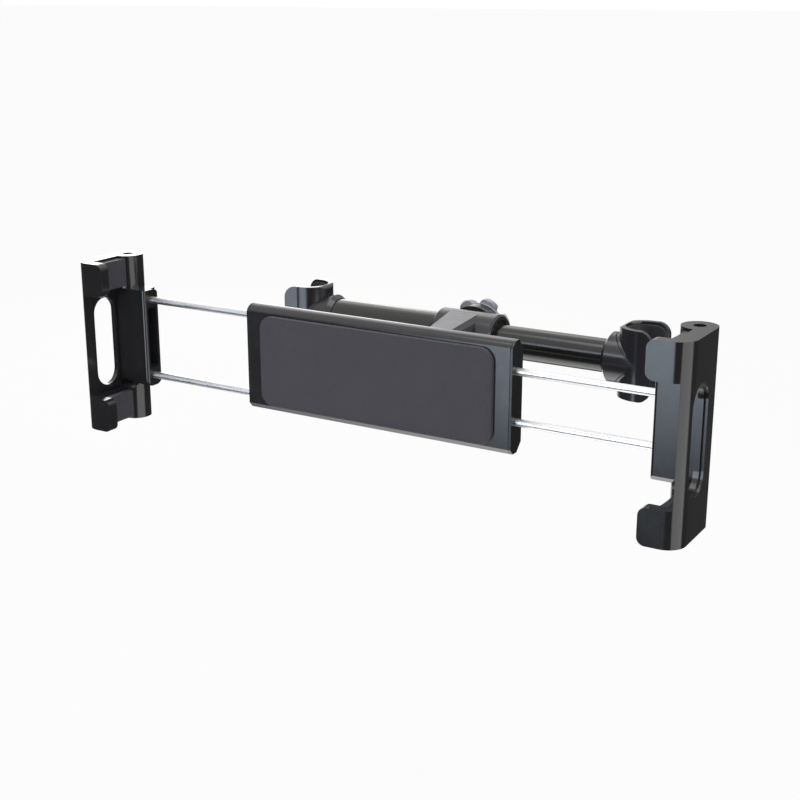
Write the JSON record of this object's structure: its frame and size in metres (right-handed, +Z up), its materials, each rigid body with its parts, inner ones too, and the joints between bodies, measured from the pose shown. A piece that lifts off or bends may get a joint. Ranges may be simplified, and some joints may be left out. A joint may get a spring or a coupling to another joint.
{
  "type": "headrest tablet mount",
  "caption": "Tablet holder with two sliding spring grips on a ball joint and arm, carried by a telescopic bar that clamps between the two posts of a car headrest.",
  "frame": {"origin": "on the front pad's face, at the middle of the holder", "axes": "+X along the holder to the right-hand grip as seen from the passenger, +Y back to the headrest, +Z up"},
  "size_m": [0.307, 0.1313, 0.0829],
  "materials": {
    "bar_tube": "gloss",
    "hook_plastic": "gloss",
    "hook_rubber": "matte",
    "dark_screw": "satin",
    "sleeve_liner": "matte",
    "arm_plastic": "satin",
    "steel": "satin",
    "brass": "satin",
    "knob_plastic": "satin",
    "white_liner": "matte",
    "seat_plastic": "matte",
    "ring_plastic": "satin",
    "shell_plastic": "gloss",
    "back_plastic": "satin",
    "pad_rubber": "matte",
    "cap_plastic": "gloss",
    "grip_plastic": "gloss",
    "lining_rubber": "matte",
    "block_plastic": "gloss",
    "chrome": "polished"
  },
  "bodies": {
    "outer_bar": {"outer_tube": "bar_tube", "left_hook": "hook_plastic", "left_hook_pad": "hook_rubber", "left_hook_screw": "dark_screw"},
    "inner_bar": {"inner_tube": "bar_tube", "right_hook": "hook_plastic", "right_hook_pad": "hook_rubber", "right_hook_screw": "dark_screw"},
    "lining": {"sleeve_lining": "sleeve_liner"},
    "arm": {"arm": "arm_plastic", "ball_stud": "steel", "pressure_shoe": "brass"},
    "knob": {"knob": "knob_plastic", "knob_screw": "steel"},
    "ball_liner": {"ball_liner": "white_liner"},
    "ball_seat": {"ball_seat": "seat_plastic"},
    "holder": {"front_shell": "shell_plastic", "back_cover": "back_plastic", "front_pad": "pad_rubber", "left_end_cap": "cap_plastic", "right_end_cap": "cap_plastic", "cover_screws": "steel", "left_springs": "steel", "right_springs": "steel"},
    "ring_nut": {"ring_nut": "ring_plastic"},
    "left_grip_set": {"left_grip": "grip_plastic", "left_grip_lining": "lining_rubber", "left_rod_block": "block_plastic", "left_upper_rod": "chrome", "left_lower_rod": "chrome", "left_rod_stops": "steel", "left_grip_screws": "dark_screw"},
    "right_grip_set": {"right_grip": "grip_plastic", "right_grip_lining": "lining_rubber", "right_rod_block": "block_plastic", "right_upper_rod": "chrome", "right_lower_rod": "chrome", "right_rod_stops": "steel", "right_grip_screws": "dark_screw"}
  },
  "joints": [
    {"name": "tube_slide", "type": "slide", "parent": "outer_bar", "child": "inner_bar", "axis": [1, 0, 0], "range_m": [-0.054, 0.016]},
    {"name": "sleeve_slide", "type": "slide", "parent": "outer_bar", "child": "lining", "axis": [1, 0, 0], "range_m": [-0.056, 0.002]},
    {"name": "arm_tilt", "type": "hinge", "parent": "lining", "child": "arm", "pos_m": [0, 0.09, 0], "axis": [1, 0, 0], "range_deg": [-90, 90]},
    {"name": "knob_turn", "type": "hinge", "parent": "arm", "child": "knob", "pos_m": [0, 0.1035, 0], "axis": [0, 1, 0], "range_deg": [-45, 360]},
    {"name": "ball_pan", "type": "hinge", "parent": "arm", "child": "ball_liner", "pos_m": [0, 0.0248, 0], "axis": [0, 0, 1], "range_deg": [-20, 20]},
    {"name": "ball_tilt", "type": "hinge", "parent": "ball_liner", "child": "ball_seat", "pos_m": [0, 0.0248, 0], "axis": [1, 0, 0], "range_deg": [-20, 20]},
    {"name": "ball_spin", "type": "hinge", "parent": "ball_seat", "child": "holder", "pos_m": [0, 0.0248, 0], "axis": [0, 1, 0], "continuous": true},
    {"name": "ring_turn", "type": "hinge", "parent": "holder", "child": "ring_nut", "pos_m": [0, 0.0248, 0], "axis": [0, 1, 0], "range_deg": [-30, 360]},
    {"name": "right_grip_slide", "type": "slide", "parent": "holder", "child": "right_grip_set", "axis": [-1, 0, 0], "range_m": [0, 0.061]},
    {"name": "left_grip_slide", "type": "slide", "parent": "holder", "child": "left_grip_set", "axis": [1, 0, 0], "range_m": [0, 0.061]}
  ]
}
